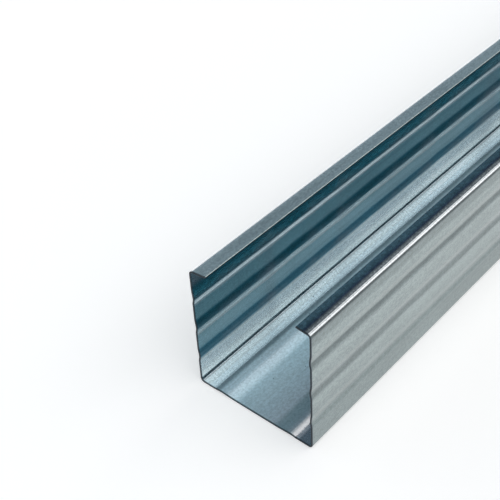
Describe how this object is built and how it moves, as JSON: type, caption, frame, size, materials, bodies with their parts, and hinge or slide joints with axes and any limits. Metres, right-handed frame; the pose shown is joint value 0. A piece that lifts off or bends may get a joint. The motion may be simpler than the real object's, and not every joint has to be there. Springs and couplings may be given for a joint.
{
  "type": "drywall metal stud",
  "caption": "Lipped C-section drywall stud, rolled from thin galvanised sheet, with ribbed flanges, a beaded web and square-cut ends.",
  "frame": {"origin": "on the back of the web, midway along the length and midway between the flanges", "axes": "+X across the web towards the flange with the narrower lip, +Y along the length, +Z from the web towards the open side"},
  "size_m": [0.0488, 2.4, 0.0509],
  "materials": {
    "galvanised_sheet": "bright zinc coat with a fine spangle and faint rolling lines"
  },
  "bodies": {
    "root": {"stud": "galvanised_sheet"}
  },
  "joints": []
}
